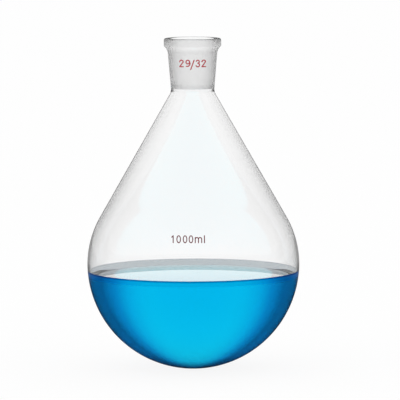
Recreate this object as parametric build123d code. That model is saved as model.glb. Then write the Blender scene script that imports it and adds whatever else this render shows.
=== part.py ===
from build123d import *
import os
from math import acos, atan2, cos, degrees, hypot, radians, sin, tan

# A blown round-bottom flask: a nearly spherical bowl, a long straight cone above it and
# a ground-glass socket with a collar, part-filled with a blue liquid and printed with
# its joint size and its capacity. Every section is drawn on the XZ plane as (distance
# from the axis, height) and turned about Z. The mouth is at height 0 and the bulb hangs
# below it, so all heights are negative. Millimetres.

# Ground socket. The bore narrows by GROUND_TAPER on the diameter for each unit of depth.
GROUND_DIAMETER = 29.2  # bore at the top of the ground zone
GROUND_LENGTH = 32.0
GROUND_TAPER = 0.1
LIP_DEPTH = 1.3  # clear glass between the mouth and the ground zone
THROAT_LENGTH = 3.0  # clear bore below the ground zone
THROAT_ROUNDING = 5.0  # inner corner from the bore into the cone

# Collar round the mouth, and the neck below it
COLLAR_DIAMETER = 38.1
COLLAR_DEPTH = 5.0  # height of the collar's upright face
COLLAR_ROUNDING = 1.3
COLLAR_UNDER_ROUNDING = 1.0
NECK_TOP_DIAMETER = 33.2
NECK_TOP_DEPTH = 7.9  # where the collar's sloping underside meets the neck
NECK_TOP_ROUNDING = 6.0
NECK_FOOT_DIAMETER = 28.5
NECK_FOOT_DEPTH = 35.5  # where the neck meets the cone
NECK_FOOT_ROUNDING = 8.0

# Blown bulb
CONE_HALF_ANGLE = 29.8  # degrees
BULB_DIAMETER = 141.4
BELT_RADIUS = 63.0  # the curve that turns the cone into the widest circle
BOWL_START_ANGLE = 6.5  # degrees below the widest circle where the bowl takes over
WALL_THICKNESS = 1.2

# Blue liquid
LIQUID_DEPTH = 60.9  # at the middle, where its surface is flat
MENISCUS_RADIUS = 5.8
MENISCUS_REACH = 5.4  # width of the rim of liquid that climbs the glass

# Fired enamel marks, on the side that faces -Y
ENAMEL_THICKNESS = 0.12
JOINT_MARK_HEIGHT = 5.1
JOINT_MARK_LINE = 0.75
JOINT_MARK_DEPTH = 15.9  # mouth to the middle of the figures
CAPACITY_MARK_HEIGHT = 5.0
CAPACITY_MARK_LINE = 0.65
CAPACITY_MARK_OFFSET = -3.6  # sideways from the axis
CAPACITY_MARK_RISE = 23.4  # middle of the figures above the widest circle

# Shape of the figures, as shares of their height
FIGURE_WIDTH = 0.6
SMALL_LETTER_HEIGHT = 0.78

MOUTH = 0.0
AXIS = 0.0


def ground_radius(depth):
    """Radius of the ground bore, or of its line carried on, at a depth below the mouth."""
    return GROUND_DIAMETER / 2 - (depth - LIP_DEPTH) * GROUND_TAPER / 2


# The bulb's curves share these two centres, inside and outside. The belt touches the
# outer cone, and the bowl touches the belt.
slope = radians(CONE_HALF_ANGLE)
bowl_start = radians(BOWL_START_ANGLE)
BELT_CENTRE_RADIUS = BULB_DIAMETER / 2 - BELT_RADIUS
BELT_CENTRE = (
    NECK_FOOT_DIAMETER / 2 * cos(slope)
    - NECK_FOOT_DEPTH * sin(slope)
    - BELT_RADIUS
    - BELT_CENTRE_RADIUS * cos(slope)
) / sin(slope)
BOWL_RADIUS = BELT_RADIUS + BELT_CENTRE_RADIUS / cos(bowl_start)
BOWL_CENTRE = BELT_CENTRE + BELT_CENTRE_RADIUS * tan(bowl_start)
BOTTOM = BOWL_CENTRE - BOWL_RADIUS
GROUND_END = LIP_DEPTH + GROUND_LENGTH
THROAT_RADIUS = ground_radius(GROUND_END)
THROAT_END = GROUND_END + THROAT_LENGTH


def on_circle(centre, radius, angle):
    """Point on a circle, with the angle in degrees above the outward direction."""
    turn = radians(angle)
    return (centre[0] + radius * cos(turn), centre[1] + radius * sin(turn))


def cone_angle(corner, centre, radius):
    """Angle in degrees of the outward normal of the line from corner that touches a circle."""
    away = (corner[0] - centre[0], corner[1] - centre[1])
    return degrees(atan2(away[1], away[0]) - acos(radius / hypot(*away)))


def bulb_curves(inset, corner):
    """Bowl, belt and cone from the axis up to corner, moved inwards by inset."""
    belt_centre = (BELT_CENTRE_RADIUS, BELT_CENTRE)
    bowl_centre = (AXIS, BOWL_CENTRE)
    belt, bowl = BELT_RADIUS - inset, BOWL_RADIUS - inset
    top = cone_angle(corner, belt_centre, belt)
    return [
        CenterArc(bowl_centre, bowl, -90, 90 - BOWL_START_ANGLE),
        CenterArc(belt_centre, belt, -BOWL_START_ANGLE, top + BOWL_START_ANGLE),
        Line(on_circle(belt_centre, belt, top), corner),
    ]


def turned(face):
    """Solid of revolution of a section drawn as (radius, height)."""
    return revolve(Plane.XZ * face, Axis.Z, 360)


def rounded(face, corners):
    """The face with each (point, radius) corner rounded."""
    for point, radius in corners:
        vertex = face.vertices().sort_by_distance((*point, 0))[0]
        face = fillet(vertex, radius)
    return face


def flask_glass():
    """Bulb, neck, collar and ground socket, fused into one piece of glass."""
    neck_foot = (NECK_FOOT_DIAMETER / 2, -NECK_FOOT_DEPTH)
    neck_top = (NECK_TOP_DIAMETER / 2, -NECK_TOP_DEPTH)
    collar_low = (COLLAR_DIAMETER / 2, -COLLAR_DEPTH)
    collar_high = (COLLAR_DIAMETER / 2, MOUTH)
    lip = (ground_radius(MOUTH), MOUTH)
    ground_end = (THROAT_RADIUS, -GROUND_END)
    throat_end = (THROAT_RADIUS, -THROAT_END)
    inner_bottom = (AXIS, BOTTOM + WALL_THICKNESS)
    section = make_face(
        [
            *bulb_curves(0, neck_foot),
            Line(neck_foot, neck_top),
            Line(neck_top, collar_low),
            Line(collar_low, collar_high),
            Line(collar_high, lip),
            Line(lip, ground_end),
            Line(ground_end, throat_end),
            *bulb_curves(WALL_THICKNESS, throat_end),
            Line(inner_bottom, (AXIS, BOTTOM)),
        ]
    )
    section = rounded(
        section,
        [
            (neck_foot, NECK_FOOT_ROUNDING),
            (neck_top, NECK_TOP_ROUNDING),
            (collar_low, COLLAR_UNDER_ROUNDING),
            (collar_high, COLLAR_ROUNDING),
            (lip, LIP_DEPTH),
            (throat_end, THROAT_ROUNDING),
        ],
    )
    return turned(section)


def blue_liquid():
    """Liquid against the inner wall, with a level surface that curves up to its rim."""
    level = BOTTOM + WALL_THICKNESS + LIQUID_DEPTH
    throat_end = (THROAT_RADIUS, -THROAT_END)
    cavity = make_face(
        [
            *bulb_curves(WALL_THICKNESS, throat_end),
            Line(throat_end, (AXIS, -THROAT_END)),
            Line((AXIS, -THROAT_END), (AXIS, BOTTOM + WALL_THICKNESS)),
        ]
    )
    rim_centre = (BULB_DIAMETER / 2 - WALL_THICKNESS - MENISCUS_REACH, level + MENISCUS_RADIUS)
    rim_side = rim_centre[0] + MENISCUS_RADIUS
    air = make_face(
        [
            Line((AXIS, level), (rim_centre[0], level)),
            CenterArc(rim_centre, MENISCUS_RADIUS, -90, 90),
            Line((rim_side, rim_centre[1]), (rim_side, MOUTH)),
            Line((rim_side, MOUTH), (AXIS, MOUTH)),
            Line((AXIS, MOUTH), (AXIS, level)),
        ]
    )
    return turned(cavity - air)


def line_along(edges, width):
    """Printed line of one width with round ends along joined edges."""
    return make_face(Wire(edges).offset_2d(width / 2).edges())


def ring(width, height, line):
    """Printed closed oval of the given overall size, standing on the baseline."""
    outer = Ellipse(width / 2, height / 2)
    return Pos(0, height / 2) * (outer - Ellipse(width / 2 - line, height / 2 - line))


def figure(name, height, line):
    """One printed figure or letter, centred sideways and standing on the baseline."""
    edge = line / 2
    side = FIGURE_WIDTH * height / 2 - edge
    top, low = height - edge, edge
    small = SMALL_LETTER_HEIGHT * height - edge
    if name == "0":
        return ring(FIGURE_WIDTH * height, height, line)
    if name == "1":
        flag = Line((-side * 0.75, top - side * 0.8), (0, top))
        return line_along([flag, Line((0, top), (0, low))], line)
    if name == "2":
        turn = top - side
        crown = ThreePointArc((-side, turn), (0, top), (side, turn))
        sweep = Line((side, turn), (-side, low))
        return line_along([crown, sweep, Line((-side, low), (side, low))], line)
    if name == "3":
        waist = 0.53 * height
        high = (top - waist) / 2
        deep = (waist - low) / 2
        start = (-side * 0.85, top - high * 0.7)
        upper = ThreePointArc(start, (side * 0.85, waist + high), (0, waist))
        lower = ThreePointArc((0, waist), (side, low + deep), (-side, low + deep * 0.7))
        return line_along([upper], line) + line_along([lower], line)
    if name == "9":
        eye = 0.62 * height
        middle = height - eye / 2
        end = (-side * 0.85, low + side * 0.3)
        tail = ThreePointArc((side, middle), (side * 0.62, low + side * 0.55), end)
        loop = Pos(0, height - eye) * ring(FIGURE_WIDTH * height, eye, line)
        return loop + line_along([tail], line)
    if name == "/":
        return line_along([Line((-0.24 * height, -0.28 * height), (0.2 * height, top))], line)
    if name == "l":
        return line_along([Line((0, low), (0, top))], line)
    # The letter m: a stem and two arches
    wide = 0.42 * height
    spring = small - wide / 2
    letter = line_along([Line((-wide, low), (-wide, small))], line)
    for left in (-wide, 0):
        arch = ThreePointArc((left, spring), (left + wide / 2, small), (left + wide, spring))
        letter += line_along([arch, Line((left + wide, spring), (left + wide, low))], line)
    return letter


def printed(text, height, line):
    """Row of figures centred on the origin. Each entry of text is (name, place)."""
    row = Sketch()
    for name, place in text:
        row += Pos(place * height, -height / 2) * figure(name, height, line)
    return row


def enamel(row, place, film):
    """Printed row, seen square from the front, laid on the glass as a thin film."""
    reach = BULB_DIAMETER
    print_through = extrude(Plane.XZ * Pos(*place) * row, amount=reach)
    return print_through & film


def joint_size_mark():
    """The socket's size, 29/32, in red on the ground neck."""
    foot = (NECK_FOOT_DIAMETER / 2, -NECK_FOOT_DEPTH)
    top = (NECK_TOP_DIAMETER / 2, -NECK_TOP_DEPTH)
    film = turned(
        Polygon(
            foot,
            top,
            (top[0] + ENAMEL_THICKNESS, top[1]),
            (foot[0] + ENAMEL_THICKNESS, foot[1]),
            align=None,
        )
    )
    text = [("2", -1.44), ("9", -0.62), ("/", 0.0), ("3", 0.68), ("2", 1.45)]
    row = printed(text, JOINT_MARK_HEIGHT, JOINT_MARK_LINE)
    return enamel(row, (0, -JOINT_MARK_DEPTH), film)


def capacity_mark():
    """The nominal capacity, 1000ml, in dark red on the shoulder of the bulb."""
    centre = (BELT_CENTRE_RADIUS, BELT_CENTRE)
    outside = BELT_RADIUS + ENAMEL_THICKNESS
    high = CONE_HALF_ANGLE
    film = turned(
        make_face(
            [
                CenterArc(centre, BELT_RADIUS, 0, high),
                CenterArc(centre, outside, 0, high),
                Line(on_circle(centre, BELT_RADIUS, 0), on_circle(centre, outside, 0)),
                Line(on_circle(centre, BELT_RADIUS, high), on_circle(centre, outside, high)),
            ]
        )
    )
    text = [("1", -1.9), ("0", -1.18), ("0", -0.35), ("0", 0.42), ("m", 1.4), ("l", 2.18)]
    row = printed(text, CAPACITY_MARK_HEIGHT, CAPACITY_MARK_LINE)
    return enamel(row, (CAPACITY_MARK_OFFSET, BELT_CENTRE + CAPACITY_MARK_RISE), film)


NODES = {
    "flask_glass": flask_glass,
    "blue_liquid": blue_liquid,
    "joint_size_mark": joint_size_mark,
    "capacity_mark": capacity_mark,
}

os.makedirs("parts", exist_ok=True)
for node, make in NODES.items():
    export_step(make(), f"parts/{node}.step")
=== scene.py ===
"""Looks of a round-bottom flask with a ground-glass socket, part-filled with a blue liquid.

Sizes in the classes are millimetres in the part's own frame: +Z up along the flask's axis, the
mouth at height 0, the printed side towards -Y. Finished meshes are in metres.
"""

from __future__ import annotations

import logging
import math
from dataclasses import dataclass
from enum import Enum

import bmesh
import bpy
from bmesh.types import BMesh, BMFace, BMVert
from bpy.types import Material, Node, NodeSocket, NodeTree
from mathutils import Matrix, Vector


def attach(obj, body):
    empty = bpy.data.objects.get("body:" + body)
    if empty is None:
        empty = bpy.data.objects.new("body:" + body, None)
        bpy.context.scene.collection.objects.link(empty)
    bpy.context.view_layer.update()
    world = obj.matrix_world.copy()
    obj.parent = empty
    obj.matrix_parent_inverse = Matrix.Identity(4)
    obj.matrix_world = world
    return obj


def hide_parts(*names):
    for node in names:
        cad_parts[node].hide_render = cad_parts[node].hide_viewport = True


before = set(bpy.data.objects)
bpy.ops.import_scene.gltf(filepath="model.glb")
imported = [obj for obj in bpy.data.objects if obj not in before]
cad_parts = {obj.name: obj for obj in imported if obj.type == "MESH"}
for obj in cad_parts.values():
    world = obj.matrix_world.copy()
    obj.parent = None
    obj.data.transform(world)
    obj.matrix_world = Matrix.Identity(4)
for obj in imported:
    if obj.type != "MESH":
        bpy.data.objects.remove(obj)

Point = tuple[float, float]
Colour = tuple[float, float, float, float]
Stops = list[tuple[float, Colour]]

LOG = logging.getLogger("flask")
MM = 0.001
AXIS = Vector((0.0, 0.0, 1.0))
GLASS_IOR = 1.473
WATER_IOR = 1.333
MERGE_DISTANCE = 0.002
"""Points of a turned outline that are nearer than this become one."""
FACE_TOLERANCE = 0.001
"""A face this much above a level counts as above it."""
PAINTED_OUTLINE_SHADE: Stops = [
    (0.0, (1.0, 1.0, 1.0, 1.0)),
    (0.04, (1.0, 1.0, 1.0, 1.0)),
    (0.061, (0.95, 0.95, 0.98, 1.0)),
    (0.097, (0.78, 0.78, 0.91, 1.0)),
    (0.143, (0.44, 0.44, 0.68, 1.0)),
    (0.2, (0.215, 0.215, 0.39, 1.0)),
    (0.25, (0.25, 0.26, 0.48, 1.0)),
]
# Painted shade on the liquid by viewing angle, from its middle to its outline: the share of light kept.
# Blue loses the least.
"""Share of light left in the liquid, from its middle to its outline. Blue loses the least."""


class Slot(Enum):
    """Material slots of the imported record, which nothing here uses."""

    CLEAR_GLASS = "clear_glass"
    BLUE_LIQUID = "blue_liquid"


class GlassFace(Enum):
    """Order of the finishes on the glass."""

    BLOWN = 0
    GROUND = 1
    WETTED = 2


class LiquidFace(Enum):
    """Order of the finishes on the liquid."""

    MAIN = 0
    RIM = 1
    EDGE = 2


def linear(code: str) -> Colour:
    """Turns an sRGB colour written in hex into the linear colour that a shader reads.

    Args:
        code: six hex digits after a hash.

    Returns:
        Red, green, blue and an alpha of 1.
    """
    channels = [int(code[i : i + 2], 16) / 255 for i in (1, 3, 5)]
    curved = [c / 12.92 if c <= 0.04045 else ((c + 0.055) / 1.055) ** 2.4 for c in channels]
    return (curved[0], curved[1], curved[2], 1.0)


def grey(value: float) -> Colour:
    """Linear grey of one brightness."""
    return (value, value, value, 1.0)


def add_node(
    tree: NodeTree,
    kind: str,
    settings: dict[str, object] | None = None,
    values: dict[str | int, object] | None = None,
    links: dict[str | int, NodeSocket] | None = None,
) -> Node:
    """Adds one shader node.

    Args:
        tree: node tree that gets the node.
        kind: type of the node.
        settings: properties of the node itself.
        values: numbers and colours set on its own input sockets.
        links: output sockets joined to its input sockets.

    Returns:
        The new node.
    """
    node = tree.nodes.new(kind)
    for name, value in (settings or {}).items():
        setattr(node, name, value)
    for name, value in (values or {}).items():
        node.inputs[name].default_value = value
    for name, source in (links or {}).items():
        tree.links.new(source, node.inputs[name])
    return node


def work_out(tree: NodeTree, operation: str, first: NodeSocket, second: NodeSocket | float) -> NodeSocket:
    """Adds a maths node for two numbers.

    Args:
        tree: node tree that gets the node.
        operation: what the node does with them.
        first: the first number.
        second: the second number, from a socket or fixed.

    Returns:
        Socket with the result.
    """
    values = {1: second} if isinstance(second, float) else {}
    links = {0: first} if values else {0: first, 1: second}
    return add_node(tree, "ShaderNodeMath", {"operation": operation}, values, links).outputs[0]


def product(tree: NodeTree, first: NodeSocket, second: NodeSocket) -> NodeSocket:
    """Adds a node that multiplies two colours.

    Args:
        tree: node tree that gets the node.
        first: the first colour.
        second: the second colour.

    Returns:
        Socket with the product.
    """
    links = {0: first, 1: second}
    return add_node(tree, "ShaderNodeVectorMath", {"operation": "MULTIPLY"}, {}, links).outputs["Vector"]


def ramp(tree: NodeTree, source: NodeSocket, stops: Stops) -> NodeSocket:
    """Adds a colour ramp.

    Args:
        tree: node tree that gets the ramp.
        source: number that the ramp gives a colour.
        stops: position and linear colour of each stop, in order.

    Returns:
        Socket with the colour.
    """
    node = add_node(tree, "ShaderNodeValToRGB", links={"Fac": source})
    elements = node.color_ramp.elements
    while len(elements) > 1:
        elements.remove(elements[-1])
    elements[0].position, elements[0].color = stops[0]
    for position, colour in stops[1:]:
        elements.new(position).color = colour
    return node.outputs["Color"]


def away_from_axis(tree: NodeTree, point: NodeSocket) -> NodeSocket:
    """Adds a node that takes the height out of a position.

    Args:
        tree: node tree that gets the node.
        point: object coordinates.

    Returns:
        Socket with the level vector from the flask's axis.
    """
    node = add_node(
        tree,
        "ShaderNodeVectorMath",
        {"operation": "MULTIPLY"},
        {1: (1.0, 1.0, 0.0)},
        {0: point},
    )
    return node.outputs["Vector"]


def height_of(tree: NodeTree, vector: NodeSocket) -> NodeSocket:
    """Adds a node that reads the upward part of a vector, and returns its socket."""
    return add_node(tree, "ShaderNodeSeparateXYZ", links={0: vector}).outputs["Z"]


def painted_outline_shade(tree: NodeTree, point: NodeSocket) -> NodeSocket:
    """Paints shade on the liquid towards its outline, by how far round its side a point is as seen.

    Args:
        tree: node tree of the liquid.
        point: object coordinates.

    Returns:
        Socket with the painted shade: the share of light kept.
    """
    outward = add_node(
        tree,
        "ShaderNodeVectorMath",
        {"operation": "NORMALIZE"},
        {},
        {0: away_from_axis(tree, point)},
    )
    facing = add_node(
        tree,
        "ShaderNodeLayerWeight",
        values={"Blend": 0.5},
        links={"Normal": outward.outputs["Vector"]},
    )
    return ramp(tree, facing.outputs["Facing"], PAINTED_OUTLINE_SHADE)


def empty_material(name: str) -> Material:
    """Makes a material whose node tree holds nothing yet.

    Args:
        name: name of the material.

    Returns:
        The material.
    """
    material = bpy.data.materials.new(name)
    material.use_nodes = True
    material.node_tree.nodes.clear()
    return material


class Outline:
    """A line in the XZ plane, drawn point by point and then turned about the flask's axis."""

    def __init__(self, start: Point) -> None:
        """Starts the line.

        Args:
            start: distance from the axis and height of its first point.
        """
        self.mesh: BMesh = bmesh.new()
        self.tip: BMVert = self.mesh.verts.new((start[0], 0.0, start[1]))
        self.roundings: list[tuple[BMVert, float, int]] = []

    def line_to(self, point: Point, steps: int = 1, rounding: float = 0.0, segments: int = 6) -> None:
        """Draws a straight run.

        Args:
            point: distance from the axis and height of its far end.
            steps: pieces that the run is made of.
            rounding: how far from its far end the corner there starts to turn, or 0.
            segments: steps of that corner.
        """
        run = Vector((point[0], 0.0, point[1])) - self.tip.co
        self.carry(self.tip.co, 0.0, run / steps, steps)
        if rounding:
            self.roundings.append((self.tip, rounding, segments))

    def arc(self, centre: Point, angle: float, steps: int) -> None:
        """Draws an arc by carrying the end of the line round a centre.

        Args:
            centre: distance from the axis and height of the arc's centre.
            angle: degrees, positive from outwards to upwards.
            steps: straight steps in the arc.
        """
        self.carry(Vector((centre[0], 0.0, centre[1])), math.radians(angle), Vector(), steps)

    def carry(self, centre: Vector, angle: float, stride: Vector, steps: int) -> None:
        """Moves the end of the line, leaving a line behind it.

        Args:
            centre: point that it turns about.
            angle: whole turn in radians.
            stride: straight move added at each step.
            steps: number of steps.
        """
        grown = bmesh.ops.spin(
            self.mesh,
            geom=[self.tip],
            cent=centre,
            axis=(0.0, -1.0, 0.0),
            dvec=stride,
            angle=angle,
            steps=steps,
            use_merge=False,
            use_normal_flip=False,
            use_duplicate=False,
        )
        self.tip = next(part for part in grown["geom_last"] if isinstance(part, BMVert))

    def turned(self, steps: int) -> BMesh:
        """Rounds the marked corners and turns the line once round the axis.

        Args:
            steps: faces round the axis.

        Returns:
            A closed mesh in metres, its faces pointing outwards.
        """
        for corner, reach, segments in self.roundings:
            bmesh.ops.bevel(
                self.mesh,
                geom=[corner],
                offset=reach,
                offset_type="OFFSET",
                segments=segments,
                profile=0.5,
                affect="VERTICES",
                material=-1,
            )
        bmesh.ops.spin(
            self.mesh,
            geom=[*self.mesh.verts, *self.mesh.edges],
            cent=(0.0, 0.0, 0.0),
            axis=AXIS,
            dvec=(0.0, 0.0, 0.0),
            angle=math.tau,
            steps=steps,
            use_merge=True,
            use_normal_flip=False,
            use_duplicate=False,
        )
        bmesh.ops.remove_doubles(self.mesh, verts=self.mesh.verts, dist=MERGE_DISTANCE)
        bmesh.ops.recalc_face_normals(self.mesh, faces=self.mesh.faces)
        bmesh.ops.scale(self.mesh, vec=(MM, MM, MM), verts=self.mesh.verts)
        return self.mesh


def place(mesh: BMesh, name: str, materials: list[Material], node: str) -> None:
    """Turns a finished bmesh into a piece that rides on the flask and stands for a CAD node.

    Args:
        mesh: finished mesh in metres, freed here.
        name: name of the piece.
        materials: finishes in the order of the faces' material numbers.
        node: CAD node that the piece stands for.
    """
    for face in mesh.faces:
        face.smooth = True
    data = bpy.data.meshes.new(name)
    mesh.to_mesh(data)
    mesh.free()
    for material in materials:
        data.materials.append(material)
    piece = bpy.data.objects.new(name, data)
    bpy.context.scene.collection.objects.link(piece)
    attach(piece, "root")
    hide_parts(node)
    LOG.info("%s: %d faces, stands for %s", name, len(data.polygons), node)


@dataclass(frozen=True)
class ClearFinish:
    """Surface that light passes through, by what it tints, blurs and mirrors."""

    name: str
    ior: float
    colour: str = "#FFFFFF"
    roughness: float = 0.0
    mirrored: float = 1.0

    def material(self) -> Material:
        """Makes the surface.

        Returns:
            The material.
        """
        made = empty_material(self.name)
        tree = made.node_tree
        shader = add_node(
            tree,
            "ShaderNodeBsdfPrincipled",
            values={
                "Base Color": linear(self.colour),
                "Roughness": self.roughness,
                "IOR": self.ior,
                "Transmission Weight": 1.0,
                "Specular Tint": grey(self.mirrored),
            },
        )
        add_node(tree, "ShaderNodeOutputMaterial", links={"Surface": shader.outputs["BSDF"]})
        return made


@dataclass(frozen=True)
class BlownGlass(ClearFinish):
    """Clear borosilicate glass, blown and fire-polished: smooth as water and without colour."""

    name: str = "blown_borosilicate_glass"
    ior: float = GLASS_IOR


@dataclass(frozen=True)
class GroundGlass(ClearFinish):
    """Borosilicate ground with fine grit for the joint: a matt white that blurs what is behind."""

    name: str = "ground_borosilicate_glass"
    ior: float = GLASS_IOR
    colour: str = "#F4F4F4"
    roughness: float = 0.55


@dataclass(frozen=True)
class WettedGlass(ClearFinish):
    """Borosilicate glass with liquid against it: such a face mirrors almost nothing."""

    name: str = "wetted_borosilicate_glass"
    ior: float = GLASS_IOR
    mirrored: float = 0.02


@dataclass(frozen=True)
class ShadedWaterRim(ClearFinish):
    """Rim of the liquid on the glass: too thin to show the dye; its grey tint is painted shade, a dark
    band along the rim.
    """

    name: str = "dyed_water_rim_painted_shade"
    ior: float = WATER_IOR
    # Painted shade: the rim's grey tint.
    colour: str = "#8C969B"


@dataclass(frozen=True)
class WaterEdgeWithPaintedLight:
    """Strip of liquid behind the rim: blue through the glass with painted light and shade, and clear from
    inside.

    Its colour holds up to colour_to of its height, and is that of the line from line_from on: a painted
    dark line of shade. The strip glows with painted light and carries painted shade towards its outline.
    """

    level: float
    name: str = "dyed_water_edge_painted_light"
    colour: str = "#00BAF0"
    # Painted shade: the darker line along the strip's top.
    line: str = "#0084C4"
    height: float = 3.35
    colour_to: float = 0.72
    line_from: float = 0.95
    # Painted light: the strip shines in its own colour, as if lit through the liquid behind it.
    glow: float = 0.42
    roughness: float = 0.5

    def material(self) -> Material:
        """Makes the strip, with a painted dark line of shade along its top, a painted glow and painted
        shade towards its outline.

        Returns:
            The material.
        """
        made = empty_material(self.name)
        tree = made.node_tree
        point = add_node(tree, "ShaderNodeTexCoord").outputs["Object"]
        rise = add_node(
            tree,
            "ShaderNodeMapRange",
            values={"From Min": self.level * MM, "From Max": (self.level + self.height) * MM},
            links={"Value": height_of(tree, point)},
        )
        plain, line = linear(self.colour), linear(self.line)
        stops = [(0.0, plain), (self.colour_to, plain), (self.line_from, line)]
        blue = ramp(tree, rise.outputs["Result"], stops)
        # Painted shade towards the outline.
        shaded = product(tree, blue, painted_outline_shade(tree, point))
        # Painted light: the strip glows in its shaded blue.
        body = add_node(
            tree,
            "ShaderNodeBsdfPrincipled",
            values={
                "Roughness": self.roughness,
                "Specular IOR Level": 0.0,
                "Emission Strength": self.glow,
            },
            links={"Base Color": shaded, "Emission Color": shaded},
        )
        clear = add_node(tree, "ShaderNodeBsdfTransparent")
        inside = add_node(tree, "ShaderNodeNewGeometry").outputs["Backfacing"]
        mixed = add_node(
            tree,
            "ShaderNodeMixShader",
            links={0: inside, 1: body.outputs["BSDF"], 2: clear.outputs["BSDF"]},
        )
        add_node(tree, "ShaderNodeOutputMaterial", links={"Surface": mixed.outputs["Shader"]})
        return made


@dataclass(frozen=True)
class DyedWater:
    """Water with a blue dye, which takes all the red and about half the green over the bulb.

    The level top has a mirroring of its own, top_ior, and is told from the side by its height
    and by flat_to, its distance from the axis.
    """

    level: float
    flat_to: float
    name: str = "dyed_water"
    mirrored: float = 0.1
    density: float = 60.0
    left_by_dye: tuple[float, float, float] = (0.117, 0.916, 0.9837)
    top_ior: float = 1.5
    top_depth: float = 0.01

    def material(self) -> Material:
        """Makes the liquid: painted shade makes it navy towards its outline; its level top a mirror at a
        low angle.

        Returns:
            The material.
        """
        made = empty_material(self.name)
        tree = made.node_tree
        point = add_node(tree, "ShaderNodeTexCoord").outputs["Object"]
        shader = add_node(
            tree,
            "ShaderNodeBsdfPrincipled",
            values={
                "Roughness": 0.0,
                "IOR": WATER_IOR,
                "Transmission Weight": 1.0,
                "Specular Tint": grey(self.mirrored),
                "Coat Roughness": 0.0,
                "Coat IOR": self.top_ior,
            },
            links={
                # Painted shade towards the outline, on faces that look out to the side.
                "Base Color": self.paint_shade_on_sides(tree, painted_outline_shade(tree, point)),
                "Coat Weight": self.on_top(tree, point),
            },
        )
        dye = add_node(
            tree,
            "ShaderNodeVolumeAbsorption",
            values={"Color": (*self.left_by_dye, 1.0), "Density": self.density},
        )
        add_node(
            tree,
            "ShaderNodeOutputMaterial",
            links={"Surface": shader.outputs["BSDF"], "Volume": dye.outputs["Volume"]},
        )
        return made

    def paint_shade_on_sides(self, tree: NodeTree, left: NodeSocket) -> NodeSocket:
        """Applies the painted shade where a side faces out, and nowhere else.

        Args:
            tree: node tree of the liquid.
            left: the painted shade, as the share of light kept.

        Returns:
            Socket with the colour, squared because a clear surface shows its square root.
        """
        surface = add_node(tree, "ShaderNodeNewGeometry")
        upward = work_out(tree, "GREATER_THAN", height_of(tree, surface.outputs["Normal"]), 0.0)
        entering = add_node(
            tree,
            "ShaderNodeMix",
            {"data_type": "RGBA"},
            {"B": grey(1.0)},
            {
                "Factor": work_out(tree, "MAXIMUM", upward, surface.outputs["Backfacing"]),
                "A": product(tree, left, left),
            },
        )
        return entering.outputs["Result"]

    def on_top(self, tree: NodeTree, point: NodeSocket) -> NodeSocket:
        """Finds the level top.

        Args:
            tree: node tree of the liquid.
            point: object coordinates.

        Returns:
            Socket that is 1 on the level top and 0 elsewhere.
        """
        high = work_out(tree, "GREATER_THAN", height_of(tree, point), (self.level - self.top_depth) * MM)
        reach = add_node(
            tree,
            "ShaderNodeVectorMath",
            {"operation": "LENGTH"},
            {},
            {0: away_from_axis(tree, point)},
        )
        near = work_out(tree, "LESS_THAN", reach.outputs["Value"], self.flat_to * MM)
        return work_out(tree, "MULTIPLY", high, near)


@dataclass(frozen=True)
class FiredEnamel:
    """Ceramic ink screened on the glass and fired: an even colour, slightly glossy and thin."""

    name: str
    colour: str
    worn: str
    worn_from: float = 0.35
    worn_to: float = 0.75
    patches_per_metre: float = 900.0
    roughness: float = 0.35
    ior: float = 1.5

    def material(self) -> Material:
        """Makes the ink, a little paler where the print is thin.

        Returns:
            The material.
        """
        made = empty_material(self.name)
        tree = made.node_tree
        thin = add_node(
            tree,
            "ShaderNodeTexNoise",
            values={"Scale": self.patches_per_metre, "Detail": 2.0, "Roughness": 0.6},
            links={"Vector": add_node(tree, "ShaderNodeTexCoord").outputs["Object"]},
        )
        stops = [(self.worn_from, linear(self.colour)), (self.worn_to, linear(self.worn))]
        shader = add_node(
            tree,
            "ShaderNodeBsdfPrincipled",
            values={"Roughness": self.roughness, "IOR": self.ior},
            links={"Base Color": ramp(tree, thin.outputs["Fac"], stops)},
        )
        add_node(tree, "ShaderNodeOutputMaterial", links={"Surface": shader.outputs["BSDF"]})
        return made


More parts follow.
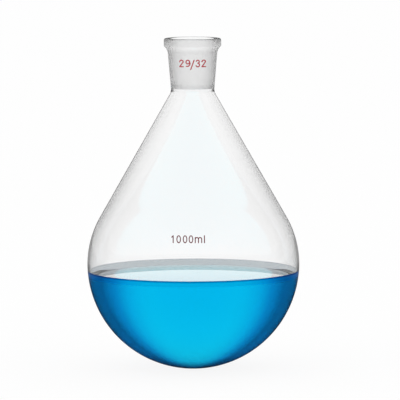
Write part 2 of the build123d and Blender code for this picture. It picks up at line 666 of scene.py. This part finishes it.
@dataclass
class FlaskGlass:
    """Bulb, cone, neck, collar and ground socket: one fused piece of glass."""

    ground_diameter: float = 29.2
    ground_length: float = 32.0
    ground_taper: float = 0.1
    ground_margin: float = 0.05
    lip_depth: float = 1.3
    lip_rounding: float = 1.3
    throat_length: float = 3.0
    throat_rounding: float = 1.34
    collar_diameter: float = 38.1
    collar_depth: float = 5.0
    collar_foot_rounding: float = 0.4
    neck_top: Point = (16.6, -7.9)
    neck_top_rounding: float = 1.9
    neck_foot: Point = (14.25, -35.5)
    neck_foot_rounding: float = 2.2
    cone_half_angle: float = 29.8
    bulb_diameter: float = 141.4
    belt_radius: float = 63.0
    bowl_start_angle: float = 6.5
    wall: float = 1.2
    bowl_steps: int = 60
    belt_steps: int = 26
    dry_belt_steps: int = 25
    wet_belt_steps: int = 2
    cone_steps: int = 31
    neck_steps: int = 11
    bore_steps: int = 12
    steps_round: int = 256

    @property
    def belt_centre(self) -> Point:
        """Centre of the curve that turns the cone into the widest circle.

        Returns:
            Distance from the axis and height.
        """
        away = self.bulb_diameter / 2 - self.belt_radius
        slope = math.radians(self.cone_half_angle)
        reach = self.neck_foot[0] * math.cos(slope) + self.neck_foot[1] * math.sin(slope)
        return (away, (reach - self.belt_radius - away * math.cos(slope)) / math.sin(slope))

    @property
    def bowl_centre(self) -> Point:
        """Centre of the bowl, on the axis."""
        away, height = self.belt_centre
        return (0.0, height + away * math.tan(math.radians(self.bowl_start_angle)))

    @property
    def bowl_radius(self) -> float:
        """Outer radius of the bowl."""
        return self.belt_radius + self.belt_centre[0] / math.cos(math.radians(self.bowl_start_angle))

    @property
    def bottom(self) -> float:
        """Height of the lowest point."""
        return self.bowl_centre[1] - self.bowl_radius

    def bore(self, depth: float) -> float:
        """Radius of the ground bore at a depth below the mouth."""
        return self.ground_diameter / 2 - (depth - self.lip_depth) * self.ground_taper / 2

    def cone_turn(self, corner: Point, inset: float) -> float:
        """Angle of the cone's outward normal above level.

        Args:
            corner: point where the cone ends at the neck.
            inset: depth below the outside of the glass.

        Returns:
            Degrees above level of the line from corner that touches the belt's curve.
        """
        away, height = self.belt_centre
        dx, dz = corner[0] - away, corner[1] - height
        touch = math.acos((self.belt_radius - inset) / math.hypot(dx, dz))
        return math.degrees(math.atan2(dz, dx) - touch)

    def mesh(self, wet_to: float) -> BMesh:
        """Draws the wall from the outer bottom over the mouth to the inner bottom.

        Args:
            wet_to: height at which the liquid meets the inner wall.

        Returns:
            The glass, with its ground and its wetted faces marked.
        """
        ground_end = self.lip_depth + self.ground_length
        throat = self.bore(ground_end)
        throat_end = (throat, -(ground_end + self.throat_length))
        line = Outline((0.0, self.bottom))
        self.draw_outside(line)
        self.draw_socket(line, throat_end, ground_end)
        self.draw_inside(line, throat_end, wet_to)
        glass = line.turned(self.steps_round)
        for face in glass.faces:
            if self.is_ground(face, ground_end):
                face.material_index = GlassFace.GROUND.value
            elif self.is_wetted(face, wet_to):
                face.material_index = GlassFace.WETTED.value
        return glass

    def draw_outside(self, line: Outline) -> None:
        """Draws the outside from the bottom up to the collar's top edge.

        Args:
            line: the outline, at the outer bottom.
        """
        half_collar = self.collar_diameter / 2
        outer_turn = self.cone_turn(self.neck_foot, 0.0)
        line.arc(self.bowl_centre, 90.0 - self.bowl_start_angle, self.bowl_steps)
        line.arc(self.belt_centre, self.bowl_start_angle + outer_turn, self.belt_steps)
        line.line_to(self.neck_foot, steps=self.cone_steps, rounding=self.neck_foot_rounding)
        line.line_to(self.neck_top, steps=self.neck_steps, rounding=self.neck_top_rounding)
        line.line_to((half_collar, -self.collar_depth), rounding=self.collar_foot_rounding, segments=4)
        line.line_to((half_collar, 0.0), rounding=self.lip_rounding, segments=8)

    def draw_socket(self, line: Outline, throat_end: Point, ground_end: float) -> None:
        """Draws the mouth, the ground bore and the throat below it.

        Args:
            line: the outline, at the collar's top edge.
            throat_end: distance from the axis and height of the throat's lower end.
            ground_end: depth of the lower end of the ground zone.
        """
        bore_start = self.lip_depth + self.lip_rounding
        line.line_to((self.bore(0.0), 0.0), rounding=self.lip_rounding, segments=8)
        line.line_to((self.bore(bore_start), -bore_start))
        line.line_to((throat_end[0], -ground_end), steps=self.bore_steps)
        line.line_to(throat_end, rounding=self.throat_rounding)

    def draw_inside(self, line: Outline, throat_end: Point, wet_to: float) -> None:
        """Draws the inner wall from the throat down to the axis.

        Args:
            line: the outline, at the throat's lower end.
            throat_end: distance from the axis and height of that end.
            wet_to: height at which the liquid meets the inner wall.
        """
        away, height = self.belt_centre
        inner_belt = self.belt_radius - self.wall
        inner_turn = self.cone_turn(throat_end, self.wall)
        turn = math.radians(inner_turn)
        inner_top = (away + inner_belt * math.cos(turn), height + inner_belt * math.sin(turn))
        wet_turn = math.degrees(math.asin((wet_to - height) / inner_belt))
        line.line_to(inner_top, steps=self.cone_steps)
        line.arc(self.belt_centre, wet_turn - inner_turn, self.dry_belt_steps)
        line.arc(self.belt_centre, -self.bowl_start_angle - wet_turn, self.wet_belt_steps)
        line.arc(self.bowl_centre, -(90.0 - self.bowl_start_angle), self.bowl_steps)
        line.tip.co.x = 0.0

    def is_ground(self, face: BMFace, ground_end: float) -> bool:
        """Says whether a face of the bore is ground matt.

        Args:
            face: face of the glass.
            ground_end: depth of the lower end of the ground zone.

        Returns:
            True on the ground zone.
        """
        centre = face.calc_center_median() / MM
        radius = math.hypot(centre.x, centre.y)
        in_zone = -ground_end < centre.z < -self.lip_depth
        return in_zone and radius < self.ground_diameter / 2 + self.ground_margin

    def is_wetted(self, face: BMFace, wet_to: float) -> bool:
        """Says whether a face of the inner wall has liquid against it.

        Args:
            face: face of the glass.
            wet_to: height at which the liquid meets the inner wall.

        Returns:
            True on the wetted faces.
        """
        centre = face.calc_center_median() / MM
        away = math.hypot(centre.x, centre.y, centre.z - self.bowl_centre[1])
        return centre.z < wet_to and away < self.bowl_radius - self.wall / 2

    def build(self, wet_to: float) -> None:
        """Makes the glass and dresses it.

        Args:
            wet_to: height at which the liquid meets the inner wall.
        """
        finishes: dict[GlassFace, ClearFinish] = {
            GlassFace.BLOWN: BlownGlass(),
            GlassFace.GROUND: GroundGlass(),
            GlassFace.WETTED: WettedGlass(),
        }
        materials = [finishes[kind].material() for kind in GlassFace]
        place(self.mesh(wet_to), "blown_glass", materials, "flask_glass")


@dataclass
class BlueLiquid:
    """Liquid in the bowl, with a level top and a rim that climbs the glass."""

    glass: FlaskGlass
    depth: float = 60.9
    rim_radius: float = 5.8
    rim_reach: float = 5.4
    into_wall: float = 0.2
    bowl_steps: int = 70
    edge_steps: int = 4
    rim_steps: int = 16
    top_steps: int = 21
    steps_round: int = 256

    @property
    def level(self) -> float:
        """Height of the level top."""
        return self.glass.bottom + self.glass.wall + self.depth

    @property
    def rim_centre(self) -> Point:
        """Centre of the arc by which the rim climbs the glass."""
        inner = self.glass.bulb_diameter / 2 - self.glass.wall
        return (inner - self.rim_reach, self.level + self.rim_radius)

    def contact(self, wall_radius: float) -> Point:
        """Finds where the rim's arc meets a wall about the bowl's centre.

        Args:
            wall_radius: radius of that wall.

        Returns:
            Distance from the axis and height of the meeting point.
        """
        middle, centre = self.glass.bowl_centre, self.rim_centre
        dx, dz = centre[0] - middle[0], centre[1] - middle[1]
        apart = math.hypot(dx, dz)
        along = (apart**2 + wall_radius**2 - self.rim_radius**2) / (2 * apart)
        aside = math.sqrt(wall_radius**2 - along**2)
        return (
            middle[0] + (along * dx + aside * dz) / apart,
            middle[1] + (along * dz - aside * dx) / apart,
        )

    def wet_to(self) -> float:
        """Height at which the rim meets the inner wall."""
        return self.contact(self.glass.bowl_radius - self.glass.wall)[1]

    def mesh(self) -> BMesh:
        """Draws the liquid from the bottom up the wall, down its rim and in to the axis.

        Returns:
            The liquid, which reaches a little way into the wall, so that no air shows between.
        """
        glass = self.glass
        outside = glass.bowl_radius - glass.wall + self.into_wall
        x, z = self.contact(outside)
        centre = self.rim_centre
        flat_angle = math.degrees(math.asin((self.level - glass.bowl_centre[1]) / outside))
        from_bowl = math.degrees(math.atan2(z - glass.bowl_centre[1], x))
        from_rim = math.degrees(math.atan2(z - centre[1], x - centre[0]))
        line = Outline((0.0, glass.bowl_centre[1] - outside))
        line.arc(glass.bowl_centre, 90.0 + flat_angle, self.bowl_steps)
        line.arc(glass.bowl_centre, from_bowl - flat_angle, self.edge_steps)
        line.arc(centre, -(90.0 + from_rim), self.rim_steps)
        line.line_to((0.0, self.level), steps=self.top_steps)
        liquid = line.turned(self.steps_round)
        for face in liquid.faces:
            middle = face.calc_center_median() / MM
            if middle.z > self.level + FACE_TOLERANCE:
                kind = LiquidFace.RIM if face.normal.z > 0.0 else LiquidFace.EDGE
                face.material_index = kind.value
        return liquid

    def build(self) -> None:
        """Makes the liquid and dresses it."""
        finishes: dict[LiquidFace, DyedWater | ShadedWaterRim | WaterEdgeWithPaintedLight] = {
            LiquidFace.MAIN: DyedWater(level=self.level, flat_to=self.rim_centre[0]),
            LiquidFace.RIM: ShadedWaterRim(),
            LiquidFace.EDGE: WaterEdgeWithPaintedLight(level=self.level),
        }
        materials = [finishes[kind].material() for kind in LiquidFace]
        place(self.mesh(), "dyed_liquid", materials, "blue_liquid")


@dataclass
class PrintedMark:
    """A printed mark, kept as the part has it and dressed in fired enamel."""

    node: str
    enamel: FiredEnamel

    def build(self) -> None:
        """Dresses the mark."""
        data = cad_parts[self.node].data
        data.materials.clear()
        data.materials.append(self.enamel.material())
        LOG.info("%s: dressed in %s", self.node, self.enamel.name)


@dataclass
class Studio:
    """A white sweep, two soft boxes in front and an even pale room.

    The near glass mirrors a dimmer room than the one that is seen. near_floor and far_floor are a
    distance and how bright it mirrors the floor there, and the two crossings are how many surfaces
    a mirrored ray may have crossed and still show the dim room.
    """

    floor_height: float
    floor_size: float = 12000.0
    floor_paint: float = 0.8
    floor_lit_share: float = 0.12
    floor_own_light: float = 0.9
    floor_crossings: float = 4.5
    near_floor: Point = (400.0, 0.01)
    far_floor: Point = (800.0, 0.35)
    room_light: float = 0.75
    room_crossings: float = 0.5
    box_distance: float = 1700.0
    box_height: float = 1500.0
    box_length: float = 3400.0

    def floor(self) -> None:
        """Lays the floor, white to the camera and through glass, with the flask's shadow on it."""
        mesh = bmesh.new()
        bmesh.ops.create_grid(mesh, x_segments=1, y_segments=1, size=self.floor_size * MM / 2)
        bmesh.ops.translate(mesh, vec=(0.0, 0.0, self.floor_height * MM), verts=mesh.verts)
        data = bpy.data.meshes.new("floor")
        mesh.to_mesh(data)
        mesh.free()
        data.materials.append(self.floor_material())
        floor = bpy.data.objects.new("floor", data)
        bpy.context.scene.collection.objects.link(floor)

    def floor_material(self) -> Material:
        """Makes the floor's finish, mostly its own light, so that it stays as white as the room.

        Returns:
            The material: matt paint to the light itself, and dim where the near glass mirrors it.
        """
        made = empty_material("white_floor")
        tree = made.node_tree
        path = add_node(tree, "ShaderNodeLightPath")
        paint = add_node(tree, "ShaderNodeBsdfDiffuse", values={"Color": grey(self.floor_paint)})
        lit = add_node(tree, "ShaderNodeBsdfDiffuse", values={"Color": grey(self.floor_lit_share)})
        glow = add_node(
            tree,
            "ShaderNodeEmission",
            values={"Color": grey(1.0), "Strength": self.floor_own_light},
        )
        seen = add_node(tree, "ShaderNodeAddShader", links={0: lit.outputs[0], 1: glow.outputs[0]})
        shown = add_node(
            tree,
            "ShaderNodeMixShader",
            links={0: self.seen_rays(tree, path), 1: paint.outputs[0], 2: seen.outputs[0]},
        )
        point = add_node(tree, "ShaderNodeTexCoord").outputs["Object"]
        away = add_node(tree, "ShaderNodeVectorMath", {"operation": "LENGTH"}, {}, {0: point})
        stops = [(reach * MM, grey(level)) for reach, level in (self.near_floor, self.far_floor)]
        far = ramp(tree, away.outputs["Value"], stops)
        dim = add_node(tree, "ShaderNodeEmission", links={"Color": far})
        mixed = add_node(
            tree,
            "ShaderNodeMixShader",
            links={
                0: self.mirrored_rays(tree, path, self.floor_crossings),
                1: shown.outputs[0],
                2: dim.outputs[0],
            },
        )
        add_node(tree, "ShaderNodeOutputMaterial", links={"Surface": mixed.outputs[0]})
        return made

    def seen_rays(self, tree: NodeTree, path: Node) -> NodeSocket:
        """Adds the test for rays that show a background: camera, glossy and transmission rays.

        Args:
            tree: node tree that gets the test.
            path: its light path node.

        Returns:
            Socket that is 1 for such a ray.
        """
        direct = work_out(tree, "MAXIMUM", path.outputs["Is Camera Ray"], path.outputs["Is Glossy Ray"])
        return work_out(tree, "MAXIMUM", direct, path.outputs["Is Transmission Ray"])

    def mirrored_rays(self, tree: NodeTree, path: Node, crossings: float) -> NodeSocket:
        """Adds the test for rays that the near side of the glass mirrors.

        Args:
            tree: node tree that gets the test.
            path: its light path node.
            crossings: a ray that has crossed fewer surfaces than this is on the near side.

        Returns:
            Socket that is 1 for a ray that was mirrored and has crossed fewer surfaces.
        """
        turned = work_out(tree, "GREATER_THAN", path.outputs["Glossy Depth"], 0.5)
        near = work_out(tree, "LESS_THAN", path.outputs["Transmission Depth"], crossings)
        return work_out(tree, "MULTIPLY", turned, near)

    def world(self) -> None:
        """Makes the room: white where it is seen, dim where it is mirrored, and plain as light."""
        world = bpy.data.worlds.new("room")
        bpy.context.scene.world = world
        world.use_nodes = True
        tree = world.node_tree
        tree.nodes.clear()
        path = add_node(tree, "ShaderNodeLightPath")
        upward = height_of(tree, add_node(tree, "ShaderNodeTexCoord").outputs["Generated"])
        backdrop = [(0.0, 1.0), (0.66, 1.0), (0.8, 0.55), (0.9, 0.32), (1.0, 0.3)]
        mirrored = [(0.0, 0.1), (0.17, 0.1), (0.8, 0.9), (1.0, 0.9)]
        view = add_node(
            tree,
            "ShaderNodeMix",
            {"data_type": "RGBA"},
            {},
            {
                "Factor": self.mirrored_rays(tree, path, self.room_crossings),
                "A": ramp(tree, upward, [(rise, grey(level)) for rise, level in backdrop]),
                "B": ramp(tree, upward, [(rise, grey(level)) for rise, level in mirrored]),
            },
        )
        light = add_node(
            tree,
            "ShaderNodeBackground",
            values={"Color": grey(1.0), "Strength": self.room_light},
        )
        shown = add_node(
            tree,
            "ShaderNodeBackground",
            values={"Strength": 1.0},
            links={"Color": view.outputs["Result"]},
        )
        mixed = add_node(
            tree,
            "ShaderNodeMixShader",
            links={0: self.seen_rays(tree, path), 1: light.outputs[0], 2: shown.outputs[0]},
        )
        add_node(tree, "ShaderNodeOutputWorld", links={"Surface": mixed.outputs[0]})

    def soft_box(self, name: str, azimuth: float, width: float, watts: float) -> None:
        """Stands an upright soft box in front of the flask.

        Args:
            name: name of the lamp.
            azimuth: degrees from the camera's side, positive to the right.
            width: width of its face.
            watts: power of the lamp.
        """
        lamp = bpy.data.lights.new(name, "AREA")
        lamp.shape = "RECTANGLE"
        lamp.size = width * MM
        lamp.size_y = self.box_length * MM
        lamp.energy = watts
        box = bpy.data.objects.new(name, lamp)
        turn = math.radians(azimuth)
        outward = Vector((math.sin(turn), -math.cos(turn), 0.0))
        box.location = (outward * self.box_distance + AXIS * self.box_height) * MM
        box.visible_glossy = False
        box.visible_transmission = False
        box.rotation_mode = "QUATERNION"
        box.rotation_quaternion = (-outward).to_track_quat("-Z", "Y")
        bpy.context.scene.collection.objects.link(box)

    def build(self) -> None:
        """Sets up the floor, the room and the lamps."""
        self.floor()
        self.world()
        self.soft_box("left_soft_box", azimuth=-48.0, width=1300.0, watts=3.5)
        self.soft_box("right_soft_box", azimuth=41.0, width=950.0, watts=2.5)
        LOG.info("studio: floor at %.1f mm", self.floor_height)


@dataclass
class StudioCamera:
    """Camera at the photograph's place: 2.85 m away and looking a little down."""

    distance: float = 2850.0
    height: float = 160.3
    aim_height: float = -109.7
    aim_right: float = 4.6
    aim_up: float = 1.7
    frame_width: float = 266.67
    sensor_width: float = 36.0
    clip_start: float = 100.0
    clip_end: float = 50000.0
    roll: float = -0.22

    def build(self) -> None:
        """Makes the camera and gives it to the scene."""
        data = bpy.data.cameras.new("studio_camera")
        data.sensor_width = self.sensor_width
        data.lens = self.sensor_width * self.distance / self.frame_width
        data.clip_start = self.clip_start * MM
        data.clip_end = self.clip_end * MM
        camera = bpy.data.objects.new("studio_camera", data)
        fall = self.height - self.aim_height
        back = math.sqrt(self.distance**2 - fall**2)
        camera.location = Vector((0.0, -back, self.height)) * MM
        aim = Vector((self.aim_right, 0.0, self.aim_height + self.aim_up)) * MM
        look = (aim - camera.location).to_track_quat("-Z", "Y").to_matrix()
        turn = Matrix.Rotation(math.radians(self.roll), 3, "Z")
        camera.rotation_mode = "QUATERNION"
        camera.rotation_quaternion = (look @ turn).to_quaternion()
        bpy.context.scene.collection.objects.link(camera)
        bpy.context.scene.camera = camera


def main() -> None:
    """Builds the flask, its contents, its marks and the studio."""
    logging.basicConfig(level=logging.INFO, format="%(name)s: %(message)s")
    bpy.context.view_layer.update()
    glass = FlaskGlass()
    liquid = BlueLiquid(glass)
    glass.build(liquid.wet_to())
    liquid.build()
    PrintedMark("joint_size_mark", FiredEnamel("red_enamel_ink", "#C83C46", "#D25A60")).build()
    PrintedMark("capacity_mark", FiredEnamel("dark_red_enamel_ink", "#782832", "#84404A")).build()
    Studio(floor_height=glass.bottom).build()
    StudioCamera().build()
    bpy.context.scene.view_settings.view_transform = "Standard"


if __name__ == "__main__":
    main()
